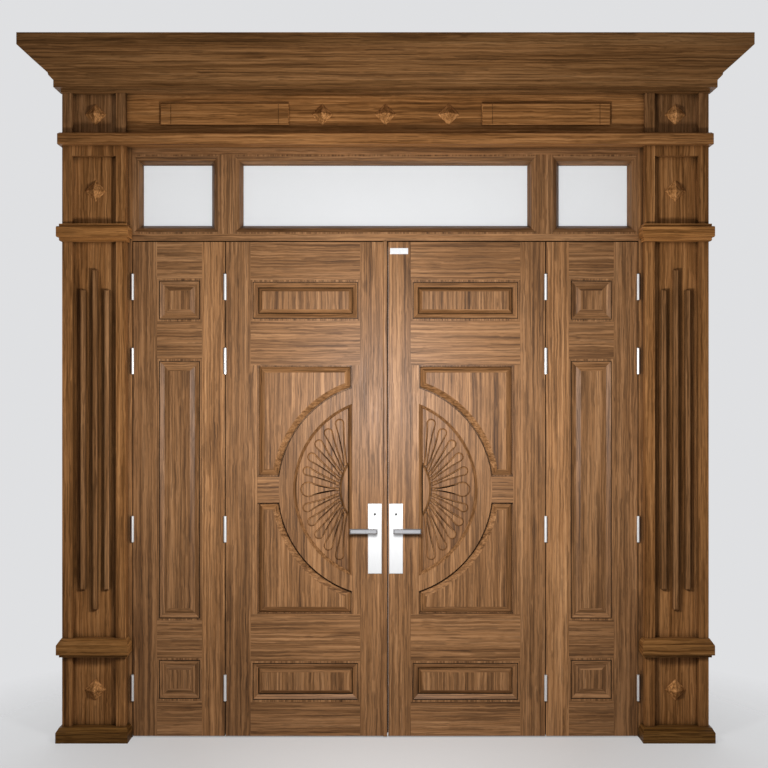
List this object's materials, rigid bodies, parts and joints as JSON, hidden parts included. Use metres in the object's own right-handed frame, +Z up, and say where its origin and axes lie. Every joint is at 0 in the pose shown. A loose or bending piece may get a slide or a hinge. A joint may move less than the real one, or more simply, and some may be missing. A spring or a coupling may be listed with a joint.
{
  "type": "four-leaf entrance door with frame",
  "caption": "Panelled timber entrance door with folding side leaves, carved fan panels, glazed transom, reeded pilasters and a crown cornice; leaves swing, levers turn.",
  "frame": {"origin": "on the floor, in the middle of the whole width and depth", "axes": "+X to the right seen from the street, +Y inward, +Z up"},
  "size_m": [3.226, 0.357, 3.141],
  "materials": {
    "timber_upright": "satin",
    "timber_level": "satin",
    "timber_dark": "satin",
    "glass": "clear",
    "steel": "brushed",
    "lever_steel": "brushed"
  },
  "bodies": {
    "frame": {"left_plinth": "timber_level", "right_plinth": "timber_level", "left_pedestal_band": "timber_level", "right_pedestal_band": "timber_level", "left_capital_band": "timber_level", "right_capital_band": "timber_level", "left_pilaster": "timber_upright", "right_pilaster": "timber_upright", "left_reeds": "timber_upright", "right_reeds": "timber_upright", "bosses": "timber_upright", "left_frieze_block": "timber_upright", "right_frieze_block": "timber_upright", "frieze_board": "timber_level", "architrave": "timber_level", "cornice": "timber_level", "left_jamb": "timber_upright", "right_jamb": "timber_upright", "head_rail": "timber_level", "transom_bar": "timber_level", "mullions": "timber_upright", "door_stops": "timber_dark", "glass_panes": "glass", "glazing_beads": "timber_dark", "left_frame_hinges": "steel", "right_frame_hinges": "steel"},
    "left_side_leaf": {"left_side_hinge_stile": "timber_upright", "left_side_meeting_stile": "timber_upright", "left_side_rails": "timber_level", "left_side_panels": "timber_upright", "left_side_hinges": "steel"},
    "right_side_leaf": {"right_side_hinge_stile": "timber_upright", "right_side_meeting_stile": "timber_upright", "right_side_rails": "timber_level", "right_side_panels": "timber_upright", "right_side_hinges": "steel"},
    "left_main_leaf": {"left_hinge_stile": "timber_upright", "left_lock_stile": "timber_upright", "left_rails": "timber_level", "left_arch_ring": "timber_upright", "left_quarter_panels": "timber_upright", "left_small_panels": "timber_upright", "left_fan_panel": "timber_upright", "left_main_hinges": "steel", "left_lock_case": "steel", "left_lock_plates": "steel", "meeting_strip": "timber_upright"},
    "left_lever": {"left_lever": "lever_steel"},
    "left_latch": {"left_latch": "steel"},
    "right_main_leaf": {"right_hinge_stile": "timber_upright", "right_lock_stile": "timber_upright", "right_rails": "timber_level", "right_arch_ring": "timber_upright", "right_quarter_panels": "timber_upright", "right_small_panels": "timber_upright", "right_fan_panel": "timber_upright", "right_main_hinges": "steel", "right_lock_case": "steel", "right_lock_plates": "steel"},
    "right_lever": {"right_lever": "lever_steel"}
  },
  "joints": [
    {"name": "left_side_leaf_swing", "type": "hinge", "parent": "frame", "child": "left_side_leaf", "pos_m": [-1.147, 0.0485, 1.1275], "axis": [0, 0, -1], "range_deg": [0, 90]},
    {"name": "left_main_leaf_swing", "type": "hinge", "parent": "left_side_leaf", "child": "left_main_leaf", "pos_m": [-0.727, 0.0485, 1.1275], "axis": [0, 0, -1], "range_deg": [0, 110]},
    {"name": "left_lever_turn", "type": "hinge", "parent": "left_main_leaf", "child": "left_lever", "pos_m": [-0.048, 0.0885, 0.939], "axis": [0, -1, 0], "range_deg": [0, 45], "stiffness_Nm_per_rad": 2, "springref_deg": -22.92},
    {"name": "right_side_leaf_swing", "type": "hinge", "parent": "frame", "child": "right_side_leaf", "pos_m": [1.147, 0.0485, 1.1275], "axis": [0, 0, 1], "range_deg": [0, 90]},
    {"name": "right_main_leaf_swing", "type": "hinge", "parent": "right_side_leaf", "child": "right_main_leaf", "pos_m": [0.727, 0.0485, 1.1275], "axis": [0, 0, 1], "range_deg": [0, 110]},
    {"name": "right_lever_turn", "type": "hinge", "parent": "right_main_leaf", "child": "right_lever", "pos_m": [0.048, 0.0885, 0.939], "axis": [0, 1, 0], "range_deg": [0, 45], "stiffness_Nm_per_rad": 2, "springref_deg": -22.92},
    {"name": "left_latch_slide", "type": "slide", "parent": "left_main_leaf", "child": "left_latch", "axis": [-1, 0, 0], "range_m": [0, 0.011]}
  ],
  "couplings": [
    {"joint": "left_latch_slide", "follows": "left_lever_turn", "m_per_rad": 0.0139}
  ]
}
